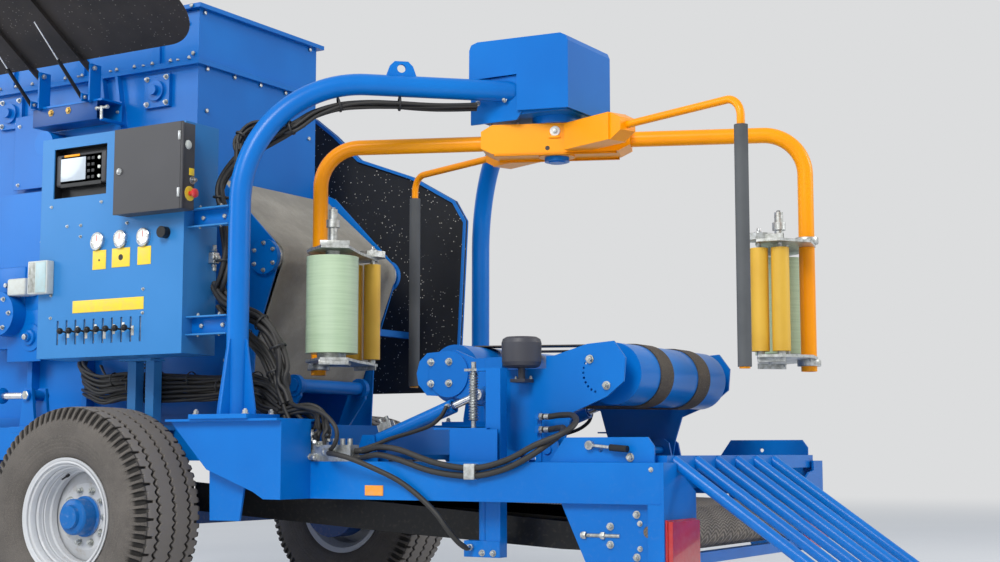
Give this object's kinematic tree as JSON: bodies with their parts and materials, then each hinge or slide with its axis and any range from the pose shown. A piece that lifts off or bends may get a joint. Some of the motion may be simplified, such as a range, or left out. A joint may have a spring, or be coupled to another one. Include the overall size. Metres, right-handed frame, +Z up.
{
  "type": "trailed compact round baler and film wrapper",
  "caption": "Single-axle trailed machine that presses chopped crop into small round bales and wraps them in film with a two-arm rotor over a tilting table",
  "frame": {"origin": "on the ground under the middle of the machine's length and width", "axes": "+X forward to the towing eye, +Y to the machine's left, +Z up"},
  "size_m": [8.2, 2.8, 3.48],
  "materials": {
    "blue_paint": "gloss",
    "deep_blue_paint": "gloss",
    "orange_paint": "gloss",
    "black_paint": "satin",
    "bare_zinc": "satin",
    "silver_rim": "satin",
    "tyre": "matt",
    "belt_rubber": "matt",
    "foam": "matt",
    "film": "satin",
    "stretch_rubber": "satin",
    "black_plastic": "matt",
    "grey_box": "satin",
    "lamp_red": "gloss",
    "hose": "satin"
  },
  "bodies": {
    "frame": {"main_frame": "blue_paint", "rails": "blue_paint", "rear_beam": "blue_paint", "axle": "deep_blue_paint", "drawbar": "blue_paint", "parking_jack": "black_paint", "power_input": "deep_blue_paint", "arch_left": "blue_paint", "arch_right": "blue_paint", "head_drive": "blue_paint", "head_cover": "blue_paint", "film_cutters": "blue_paint", "rear_brackets": "blue_paint", "ramp": "blue_paint", "rear_lamps": "lamp_red", "transfer_lift": "blue_paint", "crumb_conveyor": "black_paint", "crumb_belt": "belt_rubber", "chamber": "blue_paint", "chamber_belt": "belt_rubber", "chamber_rollers": "bare_zinc", "feed_housing": "blue_paint", "hopper": "blue_paint", "metering_shafts": "blue_paint", "side_guard": "black_plastic", "intake": "blue_paint", "intake_belt": "belt_rubber", "drive_side": "blue_paint", "cabinet": "blue_paint", "panel_fittings": "black_plastic", "electric_box": "grey_box", "manifold": "bare_zinc", "hose_bundle": "hose", "hose_table": "hose", "hose_cutter": "hose"},
    "wheel_left": {"rim_left": "silver_rim", "tyre_left": "tyre"},
    "wheel_right": {"rim_right": "silver_rim", "tyre_right": "tyre"},
    "rotor": {"rotor_beam": "orange_paint", "rotor_arms": "orange_paint", "safety_bars": "orange_paint", "bar_sleeves": "foam", "film_holders": "bare_zinc", "film_rolls": "film", "stretch_rollers": "stretch_rubber"},
    "table": {"table_frame": "blue_paint", "table_rollers": "blue_paint", "table_belts": "belt_rubber", "side_rollers": "black_plastic"},
    "barrel_left": {"tilt_barrel_left": "blue_paint"},
    "barrel_right": {"tilt_barrel_right": "blue_paint"},
    "rod_left": {"tilt_rod_left": "bare_zinc"},
    "rod_right": {"tilt_rod_right": "bare_zinc"},
    "door": {"box_door": "grey_box"},
    "hood": {"hood": "black_plastic"},
    "strut_barrels": {"hood_struts": "black_paint"},
    "strut_rods": {"strut_rods": "bare_zinc"}
  },
  "joints": [
    {"name": "wheel_left_spin", "type": "hinge", "parent": "frame", "child": "wheel_left", "pos_m": [0.16, 1.17, 0.565], "axis": [0, 1, 0], "continuous": true},
    {"name": "wheel_right_spin", "type": "hinge", "parent": "frame", "child": "wheel_right", "pos_m": [0.16, -1.17, 0.565], "axis": [0, 1, 0], "continuous": true},
    {"name": "rotor_turn", "type": "hinge", "parent": "frame", "child": "rotor", "pos_m": [-1.95, 0, 2.52], "axis": [0, 0, 1], "continuous": true},
    {"name": "table_tilt", "type": "hinge", "parent": "frame", "child": "table", "pos_m": [-2.27, 0, 0.905], "axis": [0, -1, 0], "range_deg": [0, 35]},
    {"name": "barrel_left_swing", "type": "hinge", "parent": "frame", "child": "barrel_left", "pos_m": [-1.29, 0.7, 0.945], "axis": [0, -1, 0], "range_deg": [-4.91, 0]},
    {"name": "barrel_right_swing", "type": "hinge", "parent": "frame", "child": "barrel_right", "pos_m": [-1.29, -0.7, 0.945], "axis": [0, -1, 0], "range_deg": [-4.91, 0]},
    {"name": "rod_left_slide", "type": "slide", "parent": "barrel_left", "child": "rod_left", "axis": [-0.9382, 0, 0.3461], "range_m": [0, 0.2656]},
    {"name": "rod_right_slide", "type": "slide", "parent": "barrel_right", "child": "rod_right", "axis": [-0.9382, 0, 0.3461], "range_m": [0, 0.2656]},
    {"name": "door_swing", "type": "hinge", "parent": "frame", "child": "door", "pos_m": [-0.519, 1.299, 2.33], "axis": [0, 0, 1], "range_deg": [0, 110]},
    {"name": "hood_lift", "type": "hinge", "parent": "frame", "child": "hood", "pos_m": [0.75, 0.75, 3.09], "axis": [1, 0, 0], "range_deg": [-80, 0]},
    {"name": "strut_swing", "type": "hinge", "parent": "frame", "child": "strut_barrels", "pos_m": [0.75, 0.78, 2.92], "axis": [1, 0, 0], "range_deg": [-84.34, 0]},
    {"name": "strut_slide", "type": "slide", "parent": "strut_barrels", "child": "strut_rods", "axis": [0, 0.7167, 0.6974], "range_m": [-0.21994, 0]}
  ],
  "couplings": [
    {"joint": "barrel_left_swing", "follows": "table_tilt", "ratio": -0.1403},
    {"joint": "barrel_right_swing", "follows": "table_tilt", "ratio": -0.1403},
    {"joint": "rod_left_slide", "follows": "table_tilt", "m_per_rad": 0.4348},
    {"joint": "rod_right_slide", "follows": "table_tilt", "m_per_rad": 0.4348},
    {"joint": "strut_swing", "follows": "hood_lift", "ratio": 1.0542},
    {"joint": "strut_slide", "follows": "hood_lift", "m_per_rad": 0.15752}
  ]
}
